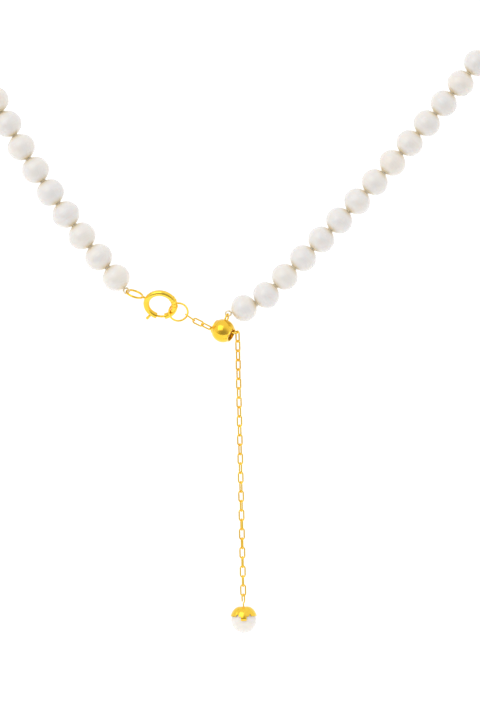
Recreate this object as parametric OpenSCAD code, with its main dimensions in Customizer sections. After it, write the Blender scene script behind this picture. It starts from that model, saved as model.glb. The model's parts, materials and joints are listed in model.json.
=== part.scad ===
// Pearl necklace with a spring ring clasp, a sliding ball adjuster and a tail
// chain that ends in a capped pearl drop. It hangs in the plane y = 0 with the
// top of its loop resting at the origin, +Z up and +Y towards the back.

/* [Pearls] */
// Mean pearl diameter, across the thread
pearl_d = 4.66; // [4.5:0.02:4.8]
// Centre of a pearl's round flank from its drilled axis, which flattens its ends
pearl_flat = 0.18; // [0.14:0.02:0.3]
// Pearls on the silk
pearl_count = 85; // [84:1:86]
// Drill hole through each pearl
drill_d = 0.7; // [0.6:0.02:0.76]
// Spacing of the pearls at the right-hand end, where they run smallest
right_pitch = 4.46; // [4.44:0.01:4.52]

/* [Silk] */
// Silk thread, across
silk_d = 0.5; // [0.4:0.02:0.54]
// Knot between two pearls, across
knot_d = 1.2; // [0.9:0.05:1.3]
// Outside diameter of the fine wire coil over each end loop
gimp_d = 0.34; // [0.3:0.01:0.36]
// Radius of each end loop, to the middle of its wire
gimp_r = 0.48; // [0.46:0.01:0.5]

/* [Hang] */
// Radius of the thread round the neck form
neck_r = 58.4; // [58:0.1:59]
// Slope from vertical at which the left side leaves the neck
left_leave = 12.1; // [11:0.1:13]
// Radius of the left side's slack bow
left_bow = 158.5; // [150:0.5:170]
// Length of the left side's bow
left_len = 76.5; // [75:0.1:78]
// Slope from vertical at which the right side leaves the neck
right_leave = 39; // [38:0.1:40]
// Radius of the right side's slack bow
right_bow = 476; // [450:1:500]
// Length of the right side's bow
right_len = 64.4; // [63:0.1:66]

/* [Spring ring clasp] */
// Ring, to the middle of its tube
ring_r = 2.45; // [2.4:0.01:2.5]
// Outside diameter of the ring's tube
tube_d = 1; // [0.94:0.02:1.04]
// Bore inside the tube
tube_bore = 0.72; // [0.68:0.02:0.76]
// Gate wire, across
gate_d = 0.38; // [0.34:0.02:0.4]
// Ring's tilt, its top towards the front
ring_tilt = 37; // [35:1:39]
// Slope of the ring's long axis
ring_slope = -13; // [-15:1:-11]
// Where the gap starts and ends round the ring
gap_from = -97; // [-99:1:-95]
gap_to = -62; // [-64:1:-60]
// Where the trigger stands at rest
trigger_at = -118; // [-120:1:-116]
// Travel of the trigger, which draws the gate wire back across the gap
gate_travel = 42; // [38:1:44]

/* [Chain] */
// Link length, outside
link_len = 2.13; // [2.11:0.01:2.15]
// Link width, outside
link_w = 1.07; // [1.05:0.01:1.1]
// Link wire, across
link_d = 0.25; // [0.23:0.01:0.25]
// Links in the tail
tail_links = 28; // [28:1:28]
// Twist of the hanging chain from its first link to its last
tail_twist = -30; // [-40:1:-20]
// Jump ring, to the middle of its wire
jump_r = 1.61; // [1.59:0.01:1.65]
// Jump ring wire, across
jump_d = 0.32; // [0.28:0.01:0.32]
// Jump ring's tilt, its top towards the back
jump_tilt = 20; // [16:1:24]

/* [Slider ball] */
// Ball, across
ball_d = 4; // [3.9:0.05:4.1]
// Bore through the ball
ball_bore = 2.1; // [2:0.02:2.2]
// Slope of the bore below level, towards the right
bore_slope = -29; // [-31:1:-27]
// Turn of the bore towards the front
bore_turn = 19; // [17:1:21]
// Bail soldered on top, to the middle of its wire
bail_r = 0.8; // [0.76:0.01:0.82]
// Bail wire, across
bail_d = 0.3; // [0.26:0.01:0.32]

/* [Drop] */
// Drop pearl, across
drop_d = 4.35; // [4.2:0.05:4.5]
// Petals on the bead cap
petals = 6; // [5:1:7]
// Sheet thickness of the bead cap
cap_wall = 0.16; // [0.14:0.01:0.2]

/* [Hidden] */
$fn = 48;
half_pearl = pearl_d / 2 - pearl_flat;
neck_c = [0, -neck_r + pearl_d / 2];
neck_turn = 180 + left_leave + right_leave;
route_len = right_len + neck_r * neck_turn * PI / 180 + left_len;
steps = pearl_count - 2;
mean_pitch = route_len / steps;
left_pitch = 2 * mean_pitch - right_pitch;

// Pearls are numbered from the right-hand end: 0 is the tipped end pearl.
// These are the first pearls below each level at which the strand flexes.
right_levels = [31, 14, 8];
left_levels = [pearl_count - 26, pearl_count - 10, pearl_count - 5];

// Slopes from vertical of the two end pearls and of the knot before the last
end_knot_lean = 50;
right_end_lean = 72;
left_end_lean = 36.5;
end_gap = 0.04;

function polar(r, a) = [r * cos(a), r * sin(a)];
function bow(start, lean, radius, s) =
  let (now = lean + s / radius * 180 / PI)
  [start[0] + radius * (cos(now) - cos(lean)), start[1] - radius * (sin(now) - sin(lean)), now];

// Place on the strand's route at length t from its right-hand end: x, z and the
// turn that lays +Z along the thread.
function route(t) =
  let (neck_len = neck_r * neck_turn * PI / 180)
  t < right_len
    ? let (p = bow(neck_c + polar(neck_r, -right_leave), right_leave, right_bow, right_len - t))
      [p[0], p[1], p[2]]
    : t < right_len + neck_len
      ? let (a = -right_leave + (t - right_len) / neck_r * 180 / PI, p = neck_c + polar(neck_r, a))
        [p[0], p[1], -a]
      : let (
          top = neck_c + polar(neck_r, 180 + left_leave),
          p = bow([-top[0], top[1]], left_leave, left_bow, t - right_len - neck_len)
        )
        [-p[0], p[1], -180 - p[2]];

function along(i) = right_pitch * (i - 1) + (left_pitch - right_pitch) * (i - 1) * (i - 1) / 2 / steps;
function pitch_at(i) = right_pitch + (left_pitch - right_pitch) * (i - 1) / steps;
function size_at(i) = pitch_at(max(i, 1)) / mean_pitch;

// The end pearl hangs from its knot, tipped towards the ball.
first = route(0);
end_half = right_pitch / 2 + 0.02;
end_knot = [first[0], first[1]] - end_half * [sin(end_knot_lean), cos(end_knot_lean)];
end_pearl = end_knot - end_half * [sin(right_end_lean), cos(right_end_lean)];
function pearl_at(i) =
  i == 0
    ? [end_pearl[0], end_pearl[1], right_end_lean]
    : i == pearl_count - 1
      ? let (p = route(along(i))) [p[0], p[1], -180 - left_end_lean]
      : route(along(i));
function knot_at(i) =
  i == 1
    ? [end_knot[0], end_knot[1], (end_knot_lean + right_end_lean) / 2]
    : let (a = pearl_at(i - 1), b = pearl_at(i)) (a + b) / 2;

// End loops of the silk, clear of the mouths of the end pearls' drill holes
loop_out = half_pearl + gimp_r + gimp_d / 2 + end_gap;
function out_of(p, lean, side) = [p[0], p[1]] + loop_out * [side * sin(lean), -cos(lean)];
last = pearl_at(pearl_count - 1);
right_loop = out_of(end_pearl, right_end_lean, -1);
left_loop = out_of(last, left_end_lean, 1);

// The ball hangs by its bail from the right-hand end loop. All that hangs with
// it is placed from the ball's centre.
ball_c = [neck_c[0] - 5.9, 0, neck_c[1] - 89.85];
bail_slack = 0.09;
bail_hook = right_loop - [ball_c[0], ball_c[2]] - bail_slack * [0.5, 0.87];
bail_lean = atan2(bail_hook[1], bail_hook[0]);
bail_out = norm(bail_hook) - bail_r;
bail_yaw = -16;
function heading(slope, turn) = [cos(slope) * cos(turn), -sin(turn), sin(slope) * cos(turn)];
bore_dir = heading(bore_slope, bore_turn);
bore_end = sqrt(pow(ball_d / 2, 2) - pow(ball_bore / 2, 2));

// The spring ring hangs by its eye from the left-hand end loop.
hook_slack = 0.08;
eye_r = 1.44;
eye_d = 0.36;
eye_slope = -20.5;
eye_turn = 21.4;
eye_at = 164.7;
eye_reach = 3.4;
ring_x = [cos(ring_slope), 0, sin(ring_slope)];
ring_y = [-sin(ring_slope) * cos(ring_tilt), -sin(ring_tilt), cos(ring_slope) * cos(ring_tilt)];
function on_ring(r, a) = r * (cos(a) * ring_x + sin(a) * ring_y);
eye_left = [left_loop[0], 0, left_loop[1]]
  + hook_slack * [sin(left_end_lean), 0, -cos(left_end_lean)];
eye_c = eye_left + eye_r * heading(eye_slope, 0);
eye_right = eye_left + 2 * eye_r * heading(eye_slope, 0);
ring_c = eye_right - on_ring(eye_reach, eye_at);

// The ring's tube passes through the jump ring, pulled to its left side.
jump_at = -13;
jump_shift = 0.88;
jump_pull = -24;
cross_at = ring_c + on_ring(ring_r, jump_at);
jump_y = [0, sin(jump_tilt), cos(jump_tilt)];
jump_way = cos(jump_pull) * [1, 0, 0] + sin(jump_pull) * jump_y;
jump_c = cross_at + jump_shift * jump_way;
jump_edge = jump_c + jump_r * jump_way;

// Lead links run from the jump ring down through the ball to the tail.
fit = 0.0125;
span = link_len / 2 - link_d / 2;
pitch = 2 * (link_len / 2 - link_d - fit);
first_pitch = pitch / 2 + span - (jump_d + link_d) / 2 - 2 * fit;
tail_top = ball_c + [2.46, -1.15, -0.42];
lead_a = jump_edge;
lead_b = lead_a + first_pitch * heading(-36, 0);
lead_c = lead_b + pitch * heading(-27.5, 0);
lead_d = lead_c + pitch * heading(-27.5, 0);

// The last three lead links cross the bore with a little sag.
to_tail = tail_top - lead_d;
reach = norm(to_tail);
two = 2 * pitch - 0.01;
one = span + pitch / 2;
foot = (two * two - one * one + reach * reach) / 2 / reach;
rise = sqrt(max(0, two * two - foot * foot));
line = to_tail / reach;
up_line = ([0, 0, 1] - line[2] * line) / norm([0, 0, 1] - line[2] * line);
lead_f = lead_d + foot * line + rise * up_line;
lead_e = (lead_d + lead_f) / 2 - sqrt(pitch * pitch - pow(norm(lead_f - lead_d) / 2, 2)) * up_line;
lead_out = (tail_top - lead_f) / norm(tail_top - lead_f);
// Turn of each lead link about its own length
lead_rolls = [90, 10, -50, 70, -20, 70];

// The tail hangs plumb from the end of the last lead link.
hang_gap = link_d + 0.05;
function tail_c(k) = tail_top + [0, 0, hang_gap - span - (k - 1) * pitch];
function tail_turn(k) = (k % 2 == 1 ? -50 : 40) + tail_twist * (k - 1) / (tail_links - 1);
function tail_pivot(k) = tail_c(k) - [0, 0, span];
function tail_axis(k) = [cos(tail_turn(k)), sin(tail_turn(k)), 0];
tail_parts = [[1, 2], [3, 7], [8, 12], [13, 17], [18, 22], [23, tail_links]];

// The drop hangs from the last link by its pin, bent over into an open hook.
pin_d = 0.24;
pin_r = 0.36;
pin_turn = tail_turn(tail_links) + 45;
hook_c = tail_pivot(tail_links) + [0, 0, (link_d + pin_d) / 2 + 0.05 - pin_r];
cap_c = hook_c - [0, 0, 4.1];
cap_r = drop_d / 2 + 0.02 + cap_wall;
cap_hem = 0.7;

shell_wall = 0.25;
liner_len = 2.2;
liner_wall = 0.06;

// Turns +X of what it holds to the heading d, with the given width direction
// lying as near as it can to w.
module facing(at, d, w) {
  x = d / norm(d);
  y0 = w - (w * x) * x;
  y = y0 / norm(y0);
  z = cross(x, y);
  multmatrix([
    [x[0], y[0], z[0], at[0]],
    [x[1], y[1], z[1], at[1]],
    [x[2], y[2], z[2], at[2]]
  ])
    children();
}

module loop(r, d) {
  rotate_extrude($fn = 24) translate([r, 0]) circle(d = d, $fn = 24);
}

module pearl(i) {
  p = pearl_at(i);
  translate([p[0], 0, p[1]]) rotate([0, p[2], 0]) scale(size_at(i))
    rotate_extrude() intersection() {
      translate([pearl_flat, 0]) circle(r = half_pearl);
      translate([drill_d / 2, -half_pearl]) square([pearl_d, 2 * half_pearl]);
    }
}

module pearls(from, to) {
  color("#efe9dc") for (i = [from : to]) pearl(i);
}

// One run of the silk: rings of points swept along the thread and its knots.
silk_sides = 8;
knot_shape = [[-0.13, silk_d / 2], [-0.1, 0.42], [0, knot_d / 2], [0.1, 0.42], [0.13, silk_d / 2]];
function ring_points(p, r) = [
  for (j = [0 : silk_sides - 1])
    let (a = j * 360 / silk_sides)
    [p[0] + r * cos(a) * cos(p[2]), r * sin(a), p[1] - r * cos(a) * sin(p[2])]
];
function stop(p, out, r) = [p[0] + out * sin(p[2]), p[1] + out * cos(p[2]), p[2], r];
function stops(from, to) = [
  for (i = [from : to]) each concat(
    [stop(pearl_at(i), 0, silk_d / 2)],
    i < to ? [for (s = knot_shape) stop(knot_at(i + 1), s[0], s[1])] : []
  )
];
module swept(places) {
  n = len(places);
  points = [for (p = places) each ring_points(p, p[3])];
  sides = [
    for (k = [0 : n - 2], j = [0 : silk_sides - 1])
      let (a = k * silk_sides + j, b = k * silk_sides + (j + 1) % silk_sides)
      [a, a + silk_sides, b + silk_sides, b]
  ];
  caps = [
    [for (j = [0 : silk_sides - 1]) j],
    [for (j = [silk_sides - 1 : -1 : 0]) (n - 1) * silk_sides + j]
  ];
  polyhedron(points, concat(sides, caps));
}

// Silk from halfway to the pearl before, through a run of pearls, to its end.
module silk(from, to, start, finish) {
  color("#e9e0cb") swept(concat(
    start ? [for (s = knot_shape) stop(knot_at(from), s[0], s[1])] : [],
    stops(from, to),
    finish ? [for (s = knot_shape) stop(knot_at(to + 1), s[0], s[1])] : []
  ));
}

// Wire-covered loop that ends the silk, with its stem in the last drill hole.
module end_loop(at, lean) {
  color("#d9c48e") translate([at[0], 0, at[1]]) rotate([0, lean, 0]) {
    rotate([90, 0, 0]) loop(gimp_r, gimp_d);
    translate([0, 0, gimp_r]) cylinder(d = gimp_d, h = 0.9, $fn = 24);
  }
}

module in_ring() {
  translate(ring_c) rotate([0, -ring_slope, 0]) rotate([90 + ring_tilt, 0, 0]) children();
}

module arc(from, sweep, r, d) {
  rotate([0, 0, from]) rotate_extrude(angle = sweep, $fn = 48)
    translate([r, 0]) circle(d = d, $fn = 24);
}

socket_depth = 5;

module spring_ring_tube() {
  color("#e3b23c") in_ring() difference() {
    arc(gap_to, 360 - gap_to + gap_from, ring_r, tube_d);
    arc(gap_from + 0.01, -100, ring_r, tube_bore);
    arc(gap_to - 0.01, socket_depth + 3, ring_r, gate_d + 0.06);
    slot = trigger_at + 3.5;
    rotate([0, 0, slot]) rotate_extrude(angle = -gate_travel - 11, $fn = 48)
      translate([ring_r, -0.16]) square([tube_d, 0.32]);
  }
}

module spring_ring_collars() {
  color("#e3b23c") in_ring() for (a = [5, 18, 31, 43])
    rotate([0, 0, a]) rotate_extrude(angle = 5, $fn = 48) translate([ring_r, 0]) difference() {
      circle(d = tube_d + 0.12, $fn = 24);
      circle(d = tube_d, $fn = 24);
    }
}

module spring_ring_eye() {
  color("#e3b23c") {
    translate(eye_c) rotate([0, -eye_slope, 0]) rotate([eye_turn, 0, 0]) loop(eye_r, eye_d);
    in_ring() difference() {
      rotate([0, 0, eye_at]) translate([ring_r + tube_d / 2 - 0.12, 0, 0])
        rotate([0, 90, 0]) cylinder(d = 0.4, h = eye_reach - ring_r - tube_d / 2 + 0.06);
      arc(eye_at - 10, 20, ring_r, tube_d);
    }
  }
}

module gate_wire() {
  color("#e3b23c") in_ring() {
    arc(gap_to + 2, gap_from - gap_to - 26, ring_r, gate_d);
    rotate([0, 0, trigger_at]) translate([ring_r + 0.05, 0, 0]) rotate([0, 90, 0])
      cylinder(d = 0.24, h = 0.6, $fn = 24);
  }
}

module gate_trigger() {
  color("#e3b23c") in_ring() rotate([0, 0, trigger_at])
    translate([ring_r + tube_d / 2 + 0.04, 0, 0]) rotate([0, 90, 0]) {
      difference() {
        cylinder(d1 = 0.42, d2 = 0.5, h = 0.8, $fn = 16);
        translate([0, 0, -1]) cylinder(d = 0.22, h = 1.3, $fn = 24);
      }
      translate([0, 0, 0.8]) sphere(d = 0.5, $fn = 16);
    }
}

// Fine helical spring inside the tube, behind the gate wire
module gate_spring() {
  turns = 14;
  sides = 5;
  r = 0.25;
  wire = 0.05;
  from = gap_from - 31;
  sweep = -58;
  steps_per_turn = 8;
  n = turns * steps_per_turn;
  points = [
    for (k = [0 : n])
      let (
        a = from + sweep * k / n, b = k * 360 / steps_per_turn, c = [cos(a), sin(a), 0],
        mid = (ring_r + r * cos(b)) * c + [0, 0, r * sin(b)],
        out = cos(b) * c + [0, 0, sin(b)], along_way = [-sin(a), cos(a), 0]
      )
      for (j = [0 : sides - 1])
        mid + wire * (cos(j * 360 / sides) * out + sin(j * 360 / sides) * along_way)
  ];
  faces = [
    for (k = [0 : n - 1], j = [0 : sides - 1])
      let (a = k * sides + j, b = k * sides + (j + 1) % sides)
      [a, a + sides, b + sides, b]
  ];
  caps = [
    [for (j = [0 : sides - 1]) j],
    [for (j = [sides - 1 : -1 : 0]) n * sides + j]
  ];
  color("#c9cbd0") in_ring() polyhedron(points, concat(faces, caps));
}

module jump_ring() {
  color("#e3b23c") translate(jump_c) rotate([90 - jump_tilt, 0, 0]) loop(jump_r, jump_d);
}

// One link lying along X, its width along Y
module link() {
  bend = (link_w - link_d) / 2;
  straight = link_len / 2 - link_w / 2;
  for (side = [-1, 1]) {
    translate([side * straight, 0, 0]) rotate([0, 0, -90 * side])
      rotate_extrude(angle = 180, $fn = 24) translate([bend, 0]) circle(d = link_d, $fn = 16);
    translate([-straight, side * bend, 0]) rotate([0, 90, 0])
      cylinder(d = link_d, h = 2 * straight, $fn = 16);
  }
}

function lead_width(d, roll) =
  let (x = d / norm(d), n = [0, 0, 1] - x[2] * x, up = n / norm(n))
  cos(roll) * up + sin(roll) * cross(up, x);
module lead(from, to, roll) {
  d = (to - from) / norm(to - from);
  facing((from + to) / 2, d, lead_width(d, roll)) link();
}

module lead_links() {
  color("#e3b23c") {
    a_way = (lead_b - lead_a) / norm(lead_b - lead_a);
    facing(lead_b - (pitch / 2) * a_way, a_way, lead_width(a_way, lead_rolls[0])) link();
    lead(lead_b, lead_c, lead_rolls[1]);
    lead(lead_c, lead_d, lead_rolls[2]);
    lead(lead_d, lead_e, lead_rolls[3]);
    lead(lead_e, lead_f, lead_rolls[4]);
    facing(tail_top - span * lead_out, lead_out, lead_width(lead_out, lead_rolls[5])) link();
  }
}

module slider_ball_shell() {
  color("#e3b23c") facing(ball_c, bore_dir, [0, 1, 0]) rotate([0, 90, 0]) rotate_extrude() {
    difference() {
      circle(d = ball_d);
      circle(d = ball_d - 2 * shell_wall);
      translate([-ball_d, -ball_d]) square([ball_d + ball_bore / 2, 2 * ball_d]);
    }
    translate([ball_bore / 2, -bore_end]) square([0.2, 2 * bore_end]);
  }
}

module slider_ball_sleeve() {
  color("#d8d3c8") facing(ball_c, bore_dir, [0, 1, 0]) rotate([0, 90, 0]) rotate_extrude()
    translate([ball_bore / 2 - liner_wall, -liner_len / 2]) square([liner_wall, liner_len]);
}

module slider_ball_bail() {
  color("#e3b23c") translate(ball_c) difference() {
    rotate([0, -bail_lean, 0]) translate([bail_out, 0, 0])
      rotate([bail_yaw, 0, 0]) loop(bail_r, bail_d);
    sphere(d = ball_d);
  }
}

module tail_run(n) {
  color("#e3b23c") for (k = [tail_parts[n][0] : tail_parts[n][1]])
    facing(tail_c(k), [0, 0, -1], tail_axis(k)) link();
}

module wire_arc(at, from, sweep) {
  rotate([90, 0, 0]) translate(at) rotate([0, 0, from])
    rotate_extrude(angle = sweep, $fn = 24) translate([pin_r, 0]) circle(d = pin_d, $fn = 24);
}

// The long leg steps back in to the middle over the cap.
module drop_pin() {
  leg = 0.75;
  step_in = 60;
  low = leg + 2 * pin_r * sin(step_in);
  color("#e3b23c") translate(hook_c) rotate([0, 0, pin_turn]) {
    wire_arc([0, 0], 0, 180);
    translate([-pin_r, 0, -0.9]) cylinder(d = pin_d, h = 0.9, $fn = 24);
    translate([pin_r, 0, -leg]) cylinder(d = pin_d, h = leg, $fn = 24);
    wire_arc([0, -leg], -step_in, step_in);
    wire_arc([2 * pin_r * cos(step_in), -low], 180 - step_in, step_in);
    translate([0, 0, cap_c[2] - hook_c[2] + 0.9])
      cylinder(d = pin_d, h = hook_c[2] - cap_c[2] - 0.9 - low, $fn = 24);
  }
}

// Petalled bead cap over the top of the drop pearl
module drop_cap() {
  color("#e3b23c") translate(cap_c) difference() {
    rotate_extrude() intersection() {
      difference() {
        circle(r = cap_r);
        circle(r = cap_r - cap_wall);
      }
      translate([pin_d / 2 + 0.02, 0]) square([cap_r, cap_r + 1]);
    }
    for (p = [0 : petals - 1]) rotate([0, 0, 270 + (p + 0.5) * 360 / petals])
      translate([cap_r, 0, cap_hem]) rotate([0, -90, 0])
        cylinder(r1 = 1.3, r2 = 0.3, h = 1.9, $fn = 3);
    translate([0, 0, -1]) cylinder(r = cap_r + 1, h = 1 + cap_hem);
  }
}

module drop_pearl() {
  color("#efe9dc") translate(cap_c) difference() {
    sphere(d = drop_d);
    translate([0, 0, 0.6]) cylinder(d = pin_d + 0.04, h = drop_d, $fn = 24);
  }
}

neck_from = right_levels[0];
neck_to = left_levels[0] - 1;

module neck_pearls() { pearls(neck_from, neck_to); }
module neck_silk() { silk(neck_from, neck_to, true, true); }
module upper_left_pearls() { pearls(left_levels[0], left_levels[1] - 1); }
module upper_left_silk() { silk(left_levels[0], left_levels[1] - 1, false, true); }
module lower_left_pearls() { pearls(left_levels[1], left_levels[2] - 1); }
module lower_left_silk() { silk(left_levels[1], left_levels[2] - 1, false, true); }
module left_end_pearls() { pearls(left_levels[2], pearl_count - 1); }
module left_end_silk() { silk(left_levels[2], pearl_count - 1, false, false); }
module left_end_loop() { end_loop(left_loop, -left_end_lean); }
module upper_right_pearls() { pearls(right_levels[1], right_levels[0] - 1); }
module upper_right_silk() { silk(right_levels[1], right_levels[0] - 1, true, false); }
module lower_right_pearls() { pearls(right_levels[2], right_levels[1] - 1); }
module lower_right_silk() { silk(right_levels[2], right_levels[1] - 1, true, false); }
module right_end_pearls() { pearls(0, right_levels[2] - 1); }
module right_end_silk() { silk(0, right_levels[2] - 1, false, false); }
module right_end_loop() { end_loop(right_loop, right_end_lean); }
module tail_links_1() { tail_run(0); }
module tail_links_2() { tail_run(1); }
module tail_links_3() { tail_run(2); }
module tail_links_4() { tail_run(3); }
module tail_links_5() { tail_run(4); }
module tail_links_6() { tail_run(5); }

neck_pearls();
neck_silk();
upper_left_pearls();
upper_left_silk();
lower_left_pearls();
lower_left_silk();
left_end_pearls();
left_end_silk();
left_end_loop();
upper_right_pearls();
upper_right_silk();
lower_right_pearls();
lower_right_silk();
right_end_pearls();
right_end_silk();
right_end_loop();
spring_ring_tube();
spring_ring_collars();
spring_ring_eye();
gate_wire();
gate_trigger();
gate_spring();
jump_ring();
lead_links();
slider_ball_shell();
slider_ball_sleeve();
slider_ball_bail();
tail_links_1();
tail_links_2();
tail_links_3();
tail_links_4();
tail_links_5();
tail_links_6();
drop_pin();
drop_cap();
drop_pearl();
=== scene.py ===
"""Pearl necklace with a spring ring clasp, a sliding ball adjuster and a capped pearl drop."""
import json
import math
import random

import bmesh
import bpy
from mathutils import Matrix, Vector


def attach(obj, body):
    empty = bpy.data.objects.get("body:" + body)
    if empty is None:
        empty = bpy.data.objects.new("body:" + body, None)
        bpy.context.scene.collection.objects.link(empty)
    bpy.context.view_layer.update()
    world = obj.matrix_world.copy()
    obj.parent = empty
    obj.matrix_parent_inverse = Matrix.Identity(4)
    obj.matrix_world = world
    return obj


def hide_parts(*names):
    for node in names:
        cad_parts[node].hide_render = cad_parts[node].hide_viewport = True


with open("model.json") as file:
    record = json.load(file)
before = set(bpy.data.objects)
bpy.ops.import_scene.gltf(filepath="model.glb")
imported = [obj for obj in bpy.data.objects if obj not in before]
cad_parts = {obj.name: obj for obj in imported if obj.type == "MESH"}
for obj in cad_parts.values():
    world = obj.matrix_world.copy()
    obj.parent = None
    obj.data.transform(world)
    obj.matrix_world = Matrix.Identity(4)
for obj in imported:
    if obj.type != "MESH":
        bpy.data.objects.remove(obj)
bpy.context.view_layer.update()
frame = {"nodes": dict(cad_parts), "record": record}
NODES = frame["nodes"]
MM = 0.001

# The strand, in millimetres, as part.scad strings it
PEARL_D = 4.66
PEARL_FLAT = 0.18
PEARLS = 85
FIRST_PITCH = 4.46
NECK_R = 58.4
LEFT_LEAVE, LEFT_BOW, LEFT_LEN = 12.1, 158.5, 76.5
RIGHT_LEAVE, RIGHT_BOW, RIGHT_LEN = 39.0, 476.0, 64.4
END_LEANS = (50.0, 72.0, 36.5)
LEVELS = (("right_end", 0, "right_end"), ("lower_right", 8, "right_lower"),
          ("upper_right", 14, "right_upper"), ("neck", 31, "neck_strand"),
          ("upper_left", 59, "left_upper"), ("lower_left", 75, "left_lower"),
          ("left_end", 80, "left_end"))
GIMP_R, GIMP_D, GIMP_STEM = 0.48, 0.34, 0.85
GIMP_WIRE, GIMP_PITCH = 0.075, 0.085
GIMP_CORE = GIMP_D / 2 - GIMP_WIRE
GIMP_SLANT, GIMP_GAP = 0.22, 0.04
DROP_D = 4.35
NECK_C = (0.0, -NECK_R + PEARL_D / 2)
BALL = Vector((NECK_C[0] - 5.9, 0.0, NECK_C[1] - 89.85))
DROP_C = BALL + Vector((2.46, -1.15, -49.5))
END_GAP = 0.02

# The nacre, in millimetres, inside the size that the strand allows it
STRAND_SEED, DROP_SEED = 85, 7
STRAND_EASE, DROP_EASE = 0.02, 0.05
MOUTH_CROWN = 0.15

# One pearl of unit radius: the drilled mouth, how the painted warm glow of light bounced off the
# silk knots fades away from it, and how growth fades along it
MOUTH_FROM, MOUTH_RIM, MOUTH_DIP, MOUTH_DEPTH = 0.987, 0.035, -0.012, 0.3
PAINTED_GLOW_FROM, PAINTED_GLOW_OVER = 0.6, 0.36
SKIN_RISE, SKIN_START = 2.5, 0.5
NACRE_GRAIN = 2.3
GROWTH_SIZE, GROWTH_AMOUNT, GROWTH_LEVEL = 0.0016, 0.07, 0.62

# The petalled cap, in millimetres and degrees
CAP_R, CAP_HEM, PETALS = 2.36, 0.72, 6
SLOT_HEIGHT, SLOT_HALF = 0.33, 5
GROOVE_TOP, GROOVE_HALF, GROOVE_DEPTH, GROOVE_SPREAD = 2.05, 2, 0.09, 0.35
TONGUE_HALF, TONGUE_RIM, TONGUE_STEP, TONGUE_LEAN = 11, 0.03, 0.3, 0.03
CROWN_FLATTEN, CROWN_R = 0.28, 2.28
CAP_SHEET, CAP_EDGE = 0.14, 0.04

# The studio, in metres
FLOOR_Z, FLOOR_MID_Y, FLOOR_SIZE = -0.26, 1.13, (8.0, 2.5)
WALL_H, WALL_FROM_Y, SWEEP_R, SWEEP_STEPS = 4.0, 1.0, 0.8, 16
SENSOR, LENS, SEEN_WIDTH, CAMERA_ROLL = 36.0, 400.0, 0.08208, 1.25
AIM_FROM_BALL = Vector((2.78, 0, -5.06))
KEY_PLACE, KEY_SIZE, KEY_POWER = (-0.4, -0.7, 0.3), 0.8, 1.9
TENT_WHITE, TENT_DIM = (0.96, 0.96, 0.96), (0.4, 0.39, 0.39)
TENT_DIM_WAY, TENT_DIM_FROM = (0.0, -0.87, -0.49), 0.3


def bow(start, lean, radius, run):
    """Place and lean after a run down one side's slack bow."""
    now = lean + math.degrees(run / radius)
    x = start[0] + radius * (math.cos(math.radians(now)) - math.cos(math.radians(lean)))
    z = start[1] - radius * (math.sin(math.radians(now)) - math.sin(math.radians(lean)))
    return x, z, now


def on_neck(angle):
    """Point of the neck circle at an angle from +X."""
    a = math.radians(angle)
    return NECK_C[0] + NECK_R * math.cos(a), NECK_C[1] + NECK_R * math.sin(a)


NECK_TURN = 180 + LEFT_LEAVE + RIGHT_LEAVE
NECK_LEN = NECK_R * math.radians(NECK_TURN)
STEPS = PEARLS - 2
MEAN_PITCH = (RIGHT_LEN + NECK_LEN + LEFT_LEN) / STEPS
LAST_PITCH = 2 * MEAN_PITCH - FIRST_PITCH


def route(t):
    """Place on the strand at length t from its right-hand end, and the turn of its thread."""
    if t < RIGHT_LEN:
        return bow(on_neck(-RIGHT_LEAVE), RIGHT_LEAVE, RIGHT_BOW, RIGHT_LEN - t)
    if t < RIGHT_LEN + NECK_LEN:
        angle = -RIGHT_LEAVE + math.degrees((t - RIGHT_LEN) / NECK_R)
        return (*on_neck(angle), -angle)
    top = on_neck(180 + LEFT_LEAVE)
    x, z, lean = bow((-top[0], top[1]), LEFT_LEAVE, LEFT_BOW, t - RIGHT_LEN - NECK_LEN)
    return -x, z, -180 - lean


def leaning(lean):
    """Unit step up a thread that leans this far from vertical."""
    return math.sin(math.radians(lean)), math.cos(math.radians(lean))


def pearl_at(i):
    """Place, turn and size of a pearl, counted from the right-hand end."""
    grow = (LAST_PITCH - FIRST_PITCH) / STEPS
    n = max(i - 1, 0)
    size = (FIRST_PITCH + grow * n) / MEAN_PITCH
    if i:
        x, z, turn = route(FIRST_PITCH * n + grow * n * n / 2)
        return x, z, -180 - END_LEANS[2] if i == PEARLS - 1 else turn, size
    x, z, _ = route(0)
    for lean in END_LEANS[:2]:
        dx, dz = leaning(lean)
        x -= (FIRST_PITCH / 2 + END_GAP) * dx
        z -= (FIRST_PITCH / 2 + END_GAP) * dz
    return x, z, END_LEANS[1], size


# Surfaces: how fine their marks are (larger is finer), how stretched, how deep in metres
NACRE_CLOUDS, NACRE_BANDS, NACRE_PITS, NACRE_DEPTH = 0.42, 1.3, 5.5, 0.0006
# The mouth colour is painted light: a warm glow standing in for light bounced off the silk knots
# between pearls
BAND_STRETCH, TINT_APART, MOUTH_PAINTED_GLOW = (0.35, 0.35, 2.2), 60, (0.80, 0.66, 0.36)
GOLD_RIPPLES, GOLD_RUBS, GOLD_PATCHES, GOLD_DEPTH = 900.0, 5200.0, 320.0, 0.00005
RUB_STRETCH = (1.0, 3.0, 0.4)
SILK_PLIES, SILK_FIBRES, SILK_DEPTH = 620.0, 7000.0, 0.00006
SILICONE_DUST, SILICONE_DEPTH = 2600.0, 0.00003
NACRE_GLOW, SILK_GLOW = 0.0009, 0.0006


class Wire:
    """A node's output, used in sums like a number."""

    def __init__(self, look, socket):
        self.look, self.socket = look, socket

    def _math(self, kind, a, b):
        return self.look.node("ShaderNodeMath", (a, b), operation=kind)

    def __add__(self, other):
        return self._math("ADD", self, other)

    def __mul__(self, other):
        return self._math("MULTIPLY", self, other)

    __radd__ = __add__
    __rmul__ = __mul__


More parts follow.
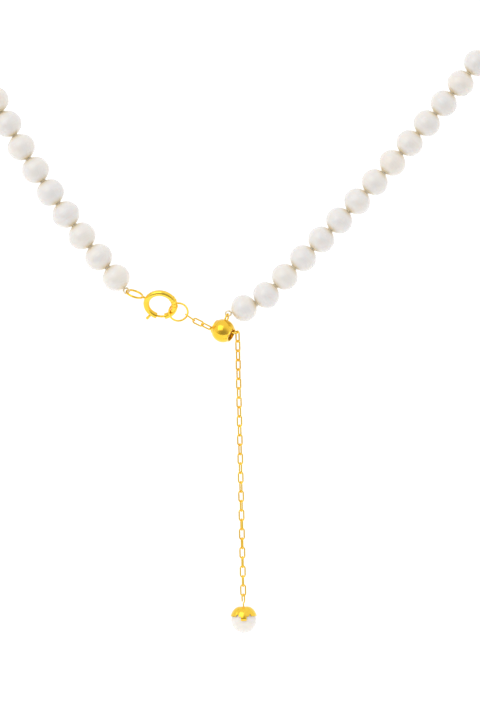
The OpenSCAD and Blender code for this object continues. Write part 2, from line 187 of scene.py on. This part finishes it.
class Look:
    """A material and the nodes that make it up."""

    def __init__(self, name):
        self.material = bpy.data.materials.new(name)
        self.material.use_nodes = True
        self.tree = self.material.node_tree
        self.shader = self.tree.nodes["Principled BSDF"]

    def node(self, kind, inputs=(), output=0, **settings):
        made = self.tree.nodes.new(kind)
        for key, value in settings.items():
            setattr(made, key, value)
        pairs = inputs.items() if isinstance(inputs, dict) else enumerate(inputs)
        for key, value in pairs:
            self.join(value, made.inputs[key])
        return Wire(self, made.outputs[output])

    def join(self, value, socket):
        if isinstance(value, Wire):
            self.tree.links.new(value.socket, socket)
        else:
            socket.default_value = (*value, 1.0) if socket.type == "RGBA" else value

    def place(self):
        return self.node("ShaderNodeTexCoord", output="Object")

    def kept(self, name, output="Fac"):
        return self.node("ShaderNodeAttribute", output=output, attribute_name=name)

    def scaled(self, vector, by):
        return self.node("ShaderNodeVectorMath", {0: vector, 1: by}, operation="MULTIPLY")

    def noise(self, vector, scale, detail=3.0, rough=0.5):
        return self.node("ShaderNodeTexNoise",
                         {"Vector": vector, "Scale": scale, "Detail": detail, "Roughness": rough})

    def span(self, value, low, high, to_low=0.0, to_high=1.0):
        return self.node("ShaderNodeMapRange", (value, low, high, to_low, to_high))

    def blend(self, amount, a, b):
        mix = self.tree.nodes.new("ShaderNodeMix")
        mix.data_type = "RGBA"
        for socket, value in ((mix.inputs[0], amount), (mix.inputs[6], a), (mix.inputs[7], b)):
            self.join(value, socket)
        return Wire(self, mix.outputs[2])

    def relief(self, height, strength, distance):
        return self.node("ShaderNodeBump",
                         {"Height": height, "Strength": strength, "Distance": distance}, "Normal")

    def done(self, **values):
        for name, value in values.items():
            self.join(value, self.shader.inputs[name.replace("_", " ")])
        return self.material


def nacre(name, warm, cool, blush):
    """Cream nacre with slow clouds of tint, faint growth bands, and a painted warm glow at the
    drilled mouths standing in for light bounced off the silk knots.
    """
    look = Look(name)
    tint = look.kept("pearl_tint")
    place = look.node("ShaderNodeVectorMath", (look.kept("pearl_place", "Vector"),
                                               tint * TINT_APART), operation="ADD")
    mouth = look.kept("pearl_painted_mouth_glow")
    clouds = look.noise(place, NACRE_CLOUDS, 2.0)
    bands = look.noise(look.scaled(place, BAND_STRETCH), NACRE_BANDS, 3.0)
    pits = look.noise(place, NACRE_PITS, 4.0, 0.6)
    colour = look.blend(look.span(clouds + tint * 0.5, 0.45, 0.95), warm, cool)
    colour = look.blend(look.span(bands, 0.4, 0.75, 0.0, 0.5), colour, blush)
    # Painted warm glow near the drilled mouths, standing in for light bounced off the silk knots
    # and neighbouring pearls
    colour = look.blend(mouth * 0.8, colour, MOUTH_PAINTED_GLOW)
    rough = look.span(clouds, 0.3, 0.7, 0.2, 0.3)
    height = pits * 0.25 + bands * 0.75
    return look.done(
        Base_Color=colour, Roughness=rough, Normal=look.relief(height, 0.16, NACRE_DEPTH),
        Subsurface_Weight=0.2, Subsurface_Radius=(1.0, 0.75, 0.5), Subsurface_Scale=NACRE_GLOW,
        Coat_Weight=0.7, Coat_Roughness=0.12, Coat_IOR=1.55, Coat_Tint=(1.0, 0.97, 0.95),
        Specular_IOR_Level=0.5, Sheen_Weight=0.5, Sheen_Roughness=0.35,
        Sheen_Tint=(0.97, 0.97, 1.0))


def gold(name, colour, deep, rough_low, rough_high):
    """Polished plated gold with soft ripples, fine rubbing marks and thinner colour in patches."""
    look = Look(name)
    place = look.place()
    ripple = look.noise(place, GOLD_RIPPLES, 2.0)
    rub = look.noise(look.scaled(place, RUB_STRETCH), GOLD_RUBS, 3.0)
    patch = look.noise(place, GOLD_PATCHES, 2.0)
    shade = look.blend(look.span(patch, 0.35, 0.7), colour, deep)
    return look.done(
        Base_Color=shade, Metallic=1.0,
        Roughness=look.span(rub + ripple * 0.5, 0.5, 1.0, rough_low, rough_high),
        Normal=look.relief(rub * 0.3 + ripple, 0.12, GOLD_DEPTH))


def thread(name, colour, dark):
    """Twisted silk: slanting plies with loose fibres between them."""
    look = Look(name)
    place = look.place()
    plies = look.node("ShaderNodeTexWave",
                      {"Vector": place, "Scale": SILK_PLIES, "Distortion": 3.0},
                      output="Fac", wave_type="BANDS", bands_direction="DIAGONAL")
    fibres = look.noise(place, SILK_FIBRES, 4.0)
    colour = look.blend(look.span(plies * 0.7 + fibres * 0.5, 0.2, 0.9), dark, colour)
    return look.done(Base_Color=colour, Roughness=0.62, Sheen_Weight=0.4, Sheen_Roughness=0.4,
                     Subsurface_Weight=0.5, Subsurface_Radius=(1.0, 0.9, 0.6),
                     Subsurface_Scale=SILK_GLOW,
                     Normal=look.relief(plies + fibres * 0.4, 0.5, SILK_DEPTH))


def soft_lining(name):
    """Cloudy silicone with a dusty surface."""
    look = Look(name)
    dust = look.noise(look.place(), SILICONE_DUST, 4.0)
    colour = look.blend(dust, (0.62, 0.42, 0.2), (0.75, 0.56, 0.3))
    return look.done(Base_Color=colour, Roughness=look.span(dust, 0.3, 0.7, 0.35, 0.6),
                     Normal=look.relief(dust, 0.2, SILICONE_DEPTH))


LOOKS = {
    "pearl": nacre("cream nacre", (0.90, 0.87, 0.80), (0.83, 0.84, 0.84), (0.88, 0.79, 0.75)),
    "gold": gold("polished gold plate", (1.0, 0.70, 0.09), (0.95, 0.58, 0.05), 0.1, 0.22),
    "gimp": gold("pale gimp wire", (0.97, 0.90, 0.70), (0.88, 0.78, 0.55), 0.25, 0.42),
    "silk": thread("twisted cream silk", (0.98, 0.93, 0.80), (0.94, 0.84, 0.64)),
    "spring_steel": gold("spring steel", (0.62, 0.62, 0.63), (0.5, 0.5, 0.5), 0.2, 0.35),
    "silicone": soft_lining("silicone sleeve"),
}


def dress(thing, slot):
    """Gives a piece its surface, in place of whatever it had."""
    thing.data.materials.clear()
    thing.data.materials.append(LOOKS[slot])


for entry in frame["record"]["subparts"]:
    dress(NODES[entry["node"]], entry["material_slot"])


# Modelling helpers

def rest():
    """Nothing selected, nothing in edit mode."""
    if bpy.context.mode != "OBJECT":
        bpy.ops.object.mode_set(mode="OBJECT")
    bpy.ops.object.select_all(action="DESELECT")


def settle(thing):
    """Leaves a piece at the origin with its place in its mesh."""
    rest()
    thing.select_set(True)
    bpy.context.view_layer.objects.active = thing
    bpy.ops.object.transform_apply(location=True, rotation=True, scale=True)
    return thing


def pick(thing, kind, wanted):
    """Edit mode with just the points, edges or faces that pass a test."""
    bpy.context.view_layer.objects.active = thing
    bpy.ops.object.mode_set(mode="EDIT")
    bpy.ops.mesh.select_mode(type=kind)
    bpy.ops.mesh.select_all(action="DESELECT")
    mesh = bmesh.from_edit_mesh(thing.data)
    for item in {"VERT": mesh.verts, "EDGE": mesh.edges, "FACE": mesh.faces}[kind]:
        item.select_set(wanted(item))
    if kind == "VERT":
        mesh.select_flush(True)
    bmesh.update_edit_mesh(thing.data)


def modify(thing, name, kind, **settings):
    """Adds a modifier with its settings and applies it."""
    modifier = thing.modifiers.new(name, kind)
    for key, value in settings.items():
        setattr(modifier, key, value)
    bpy.ops.object.modifier_apply(modifier=modifier.name)


def lay(thing, place, turn):
    """Moves a mesh made in millimetres to its place on the strand, turned along the thread."""
    thing.data.transform(Matrix.Rotation(math.radians(turn), 4, "Y"))
    thing.data.transform(Matrix.Translation(place))
    thing.data.transform(Matrix.Scale(MM, 4))


def fit(thing, slot, body, node):
    """Gives a new piece its surface, its body and the node it stands for."""
    thing.data.shade_smooth()
    dress(thing, slot)
    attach(thing, body)
    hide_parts(node)


def pearl_blank(sides):
    """One pearl of unit radius, drilled along Z, with the hole's mouths rounded in."""
    rest()
    bpy.ops.mesh.primitive_uv_sphere_add(segments=32, ring_count=22, radius=1.0)
    blank = bpy.context.object
    for side in sides:
        pick(blank, "FACE", lambda f, s=side: s * f.calc_center_median().z > MOUTH_FROM)
        bpy.ops.mesh.inset(thickness=MOUTH_RIM, depth=MOUTH_DIP)
        bpy.ops.mesh.extrude_region_move(
            TRANSFORM_OT_translate={"value": (0, 0, -side * MOUTH_DEPTH)})
        bpy.ops.mesh.delete(type="FACE")
    rest()
    mesh = blank.data
    points = [v.co.copy() for v in mesh.vertices]
    skin = blank.vertex_groups.new(name="skin")
    for k, point in enumerate(points):
        out = math.hypot(point.x, point.y)
        skin.add([k], min(1.0, max(0.0, out * SKIN_RISE - SKIN_START)), "REPLACE")
    mesh.attributes.new("pearl_place", "FLOAT_VECTOR", "POINT")
    mesh.attributes["pearl_place"].data.foreach_set(
        "vector", [c * NACRE_GRAIN for point in points for c in point])
    # Mask for the painted warm glow of bounced light, rising towards each drilled mouth
    mesh.attributes.new("pearl_painted_mouth_glow", "FLOAT", "POINT")
    mesh.attributes["pearl_painted_mouth_glow"].data.foreach_set("value", [
        max(0.0, min(1.0, (abs(point.z) - PAINTED_GLOW_FROM) / PAINTED_GLOW_OVER)) ** 2
        if any(side * point.z > 0 for side in sides) else 0.0 for point in points])
    return blank


def pearl_shape(blank, name, dice, width, length, place, turn):
    """A copy of the blank as one pearl: its own size, its own slight unevenness."""
    pearl = blank.copy()
    pearl.data = blank.data.copy()
    pearl.name = name
    bpy.context.collection.objects.link(pearl)
    pearl.scale = (width / 2 * MM, width / 2 * MM, length / 2 * MM)
    pearl.rotation_euler = (Matrix.Rotation(math.radians(turn), 3, "Y")
                            @ Matrix.Rotation(dice.uniform(0, 6.28), 3, "Z")).to_euler()
    pearl.location = Vector(place) * MM
    pearl.data.attributes.new("pearl_tint", "FLOAT", "POINT")
    pearl.data.attributes["pearl_tint"].data.foreach_set(
        "value", [dice.random()] * len(pearl.data.vertices))
    rest()
    pearl.select_set(True)
    bpy.context.view_layer.objects.active = pearl
    modify(pearl, "uneven growth", "DISPLACE", texture=GROWTH, texture_coords="GLOBAL",
           strength=GROWTH_AMOUNT, mid_level=GROWTH_LEVEL, vertex_group="skin")
    return settle(pearl)


GROWTH = bpy.data.textures.new("pearl growth", "CLOUDS")
GROWTH.noise_scale, GROWTH.noise_depth = GROWTH_SIZE, 1


def string_pearls():
    """Every pearl of the strand, each on the body its stretch of silk moves with."""
    blank = pearl_blank((1, -1))
    dice = random.Random(STRAND_SEED)
    ends = [start for _, start, _ in LEVELS[1:]] + [PEARLS]
    for (label, start, body), end in zip(LEVELS, ends):
        for i in range(start, end):
            x, z, turn, size = pearl_at(i)
            pearl = pearl_shape(blank, f"pearl_{i:02d}", dice, (PEARL_D - STRAND_EASE) * size,
                                (PEARL_D - 2 * PEARL_FLAT + MOUTH_CROWN) * size, (x, 0, z), turn)
            fit(pearl, "pearl", body, f"{label}_pearls")
    bpy.data.objects.remove(blank)


def drop_pearl():
    """The pearl under the cap, drilled only from above."""
    blank = pearl_blank((1,))
    pearl = pearl_shape(blank, "drop_pearl_nacre", random.Random(DROP_SEED), DROP_D - DROP_EASE,
                        DROP_D - DROP_EASE, DROP_C, 0)
    fit(pearl, "pearl", "drop", "drop_pearl")
    bpy.data.objects.remove(blank)


def wire_turn(place, tilt):
    """One slanting turn of the gimp's fine wire."""
    bpy.ops.mesh.primitive_torus_add(
        major_segments=14, minor_segments=6, major_radius=GIMP_CORE + GIMP_WIRE / 2,
        minor_radius=GIMP_WIRE / 2, rotation=(GIMP_SLANT, tilt, 0), location=place)
    return bpy.context.object


def gimp(name, pearl, lean, side, body):
    """Fine wire wound round the silk's end loop and down its stem into the pearl."""
    rest()
    parts = []
    bpy.ops.mesh.primitive_torus_add(major_segments=48, minor_segments=10, major_radius=GIMP_R,
                                     minor_radius=GIMP_CORE, rotation=(math.radians(90), 0, 0))
    parts.append(bpy.context.object)
    bpy.ops.mesh.primitive_cylinder_add(vertices=12, radius=GIMP_CORE, depth=GIMP_STEM,
                                        location=(0, 0, GIMP_R + GIMP_STEM / 2))
    parts.append(bpy.context.object)
    turns = round(2 * math.pi * GIMP_R / GIMP_PITCH)
    for k in range(turns):
        a = 2 * math.pi * k / turns
        parts.append(wire_turn((GIMP_R * math.sin(a + math.pi / 2), 0,
                                GIMP_R * math.cos(a + math.pi / 2)), math.pi / 2 - a))
    for k in range(int(GIMP_STEM / GIMP_PITCH)):
        parts.append(wire_turn((0, 0, GIMP_R + GIMP_PITCH * (k + 1)), 0))
    rest()
    for part in parts:
        part.select_set(True)
    bpy.context.view_layer.objects.active = parts[0]
    bpy.ops.object.join()
    coil = settle(bpy.context.object)
    coil.name = name
    out = PEARL_D / 2 - PEARL_FLAT + GIMP_R + GIMP_D / 2 + GIMP_GAP
    dx, dz = leaning(lean)
    lay(coil, (pearl[0] + side * out * dx, 0, pearl[1] - out * dz), -side * lean)
    fit(coil, "gimp", body, f"{body}_loop")


def near(point, way, width):
    """Whether a point lies within a width of a way round the Z axis, in degrees."""
    angle = math.degrees(math.atan2(point.y, point.x))
    return abs((angle - way + 180) % 360 - 180) <= width


def bead_cap():
    """Six rounded petals pressed in one sheet, with a short tongue at the front and the back."""
    rest()
    bpy.ops.mesh.primitive_uv_sphere_add(segments=72, ring_count=40, radius=CAP_R)
    cap = bpy.context.object
    cap.name = "drop_cap_petals"
    bpy.ops.object.mode_set(mode="EDIT")
    bpy.ops.mesh.select_all(action="SELECT")
    bpy.ops.mesh.bisect(plane_co=(0, 0, CAP_HEM), plane_no=(0, 0, -1), clear_outer=True)
    bpy.ops.object.mode_set(mode="OBJECT")
    seams = [360 / PETALS * k for k in range(PETALS)]
    pick(cap, "FACE", lambda f: f.calc_center_median().z < CAP_HEM + SLOT_HEIGHT and any(
        near(f.calc_center_median(), seam, SLOT_HALF) for seam in seams))
    bpy.ops.mesh.delete(type="FACE")
    bpy.ops.object.mode_set(mode="OBJECT")
    pick(cap, "VERT", lambda v: v.co.z < GROOVE_TOP and any(
        near(v.co, seam, GROOVE_HALF) for seam in seams))
    bpy.ops.transform.shrink_fatten(value=-GROOVE_DEPTH, use_proportional_edit=True,
                                    proportional_edit_falloff="SMOOTH",
                                    proportional_size=GROOVE_SPREAD)
    for side in (-1, 1):
        pick(cap, "VERT", lambda v, s=side: v.co.z < CAP_HEM + TONGUE_RIM
             and near(v.co, 90 * s, TONGUE_HALF))
        for lean in (0.0, TONGUE_LEAN):
            bpy.ops.mesh.extrude_region_move(
                TRANSFORM_OT_translate={"value": (0, -lean * side, -TONGUE_STEP)})
    bpy.ops.object.mode_set(mode="OBJECT")
    modify(cap, "flatter crown", "CAST", cast_type="CYLINDER", factor=CROWN_FLATTEN, use_z=False,
           use_radius_as_size=False, size=CROWN_R)
    modify(cap, "sheet", "SOLIDIFY", thickness=CAP_SHEET, offset=-1.0)
    modify(cap, "soft edges", "BEVEL", width=CAP_EDGE, segments=2, limit_method="ANGLE")
    settle(cap)
    lay(cap, DROP_C, 0)
    fit(cap, "gold", "drop", "drop_cap")


string_pearls()
drop_pearl()
bead_cap()
gimp("right_end_gimp", pearl_at(0), END_LEANS[1], -1, "right_end")
gimp("left_end_gimp", pearl_at(PEARLS - 1), END_LEANS[2], 1, "left_end")


# Studio

def backdrop():
    """A pale floor that sweeps up into the wall behind."""
    rest()
    bpy.ops.mesh.primitive_plane_add(size=1.0, location=(0, FLOOR_MID_Y, FLOOR_Z))
    sweep = bpy.context.object
    sweep.name = "studio_floor"
    sweep.scale = (*FLOOR_SIZE, 1.0)
    settle(sweep)
    pick(sweep, "EDGE", lambda e: all(v.co.y > WALL_FROM_Y for v in e.verts))
    bpy.ops.mesh.extrude_region_move(TRANSFORM_OT_translate={"value": (0, 0, WALL_H)})
    pick(sweep, "EDGE", lambda e: all(v.co.y > WALL_FROM_Y and v.co.z < FLOOR_Z + 0.01
                                      for v in e.verts))
    bpy.ops.mesh.bevel(offset=SWEEP_R, segments=SWEEP_STEPS, profile=0.5)
    rest()
    sweep.data.shade_smooth()
    look = Look("white paper sweep")
    grain = look.noise(look.place(), 240.0, 3.0)
    look.done(Base_Color=look.blend(grain, (0.93, 0.93, 0.92), (0.96, 0.96, 0.955)),
              Roughness=0.85, Emission_Color=(1.0, 1.0, 1.0), Emission_Strength=0.2)
    sweep.data.materials.clear()
    sweep.data.materials.append(look.material)


def camera():
    """Level and square on, turned by the slight roll that makes the plumb tail lean."""
    data = bpy.data.cameras.new("camera")
    data.sensor_fit, data.sensor_width, data.lens = "HORIZONTAL", SENSOR, LENS
    data.clip_start, data.clip_end = 0.01, 50.0
    thing = bpy.data.objects.new("camera", data)
    bpy.context.collection.objects.link(thing)
    roll = math.radians(CAMERA_ROLL)
    right = Vector((math.cos(roll), 0, -math.sin(roll)))
    up = Vector((math.sin(roll), 0, math.cos(roll)))
    turn = Matrix((right, up, Vector((0, -1, 0)))).transposed().to_4x4()
    away = Vector((0, -LENS / SENSOR * SEEN_WIDTH, 0))
    thing.matrix_world = Matrix.Translation((BALL + AIM_FROM_BALL) * MM + away) @ turn
    bpy.context.scene.camera = thing


def key_light():
    """A large square soft lamp, high on the left, turned towards the slider ball."""
    data = bpy.data.lights.new("key", "AREA")
    data.shape, data.size, data.energy = "SQUARE", KEY_SIZE, KEY_POWER
    thing = bpy.data.objects.new("key", data)
    bpy.context.collection.objects.link(thing)
    thing.location = KEY_PLACE
    thing.rotation_euler = (BALL * MM - Vector(KEY_PLACE)).to_track_quat("-Z", "Y").to_euler()


def light_tent():
    """White cloth all round, dimmer in front and below."""
    world = bpy.data.worlds.new("light tent")
    world.use_nodes = True
    tree = world.node_tree
    cloth = tree.nodes["Background"]
    cloth.inputs["Strength"].default_value = 1.0
    facing = tree.nodes.new("ShaderNodeTexCoord")
    towards = tree.nodes.new("ShaderNodeVectorMath")
    towards.operation = "DOT_PRODUCT"
    towards.inputs[1].default_value = TENT_DIM_WAY
    tree.links.new(facing.outputs["Generated"], towards.inputs[0])
    dim = tree.nodes.new("ShaderNodeMapRange")
    dim.interpolation_type = "SMOOTHSTEP"
    dim.inputs["From Min"].default_value = TENT_DIM_FROM
    dim.inputs["From Max"].default_value = 1.0
    tree.links.new(towards.outputs["Value"], dim.inputs["Value"])
    mix = tree.nodes.new("ShaderNodeMix")
    mix.data_type = "RGBA"
    mix.inputs[6].default_value = (*TENT_WHITE, 1.0)
    mix.inputs[7].default_value = (*TENT_DIM, 1.0)
    tree.links.new(dim.outputs["Result"], mix.inputs[0])
    tree.links.new(mix.outputs[2], cloth.inputs["Color"])
    bpy.context.scene.world = world


backdrop()
camera()
key_light()
light_tent()
bpy.context.scene.view_settings.view_transform = "Standard"
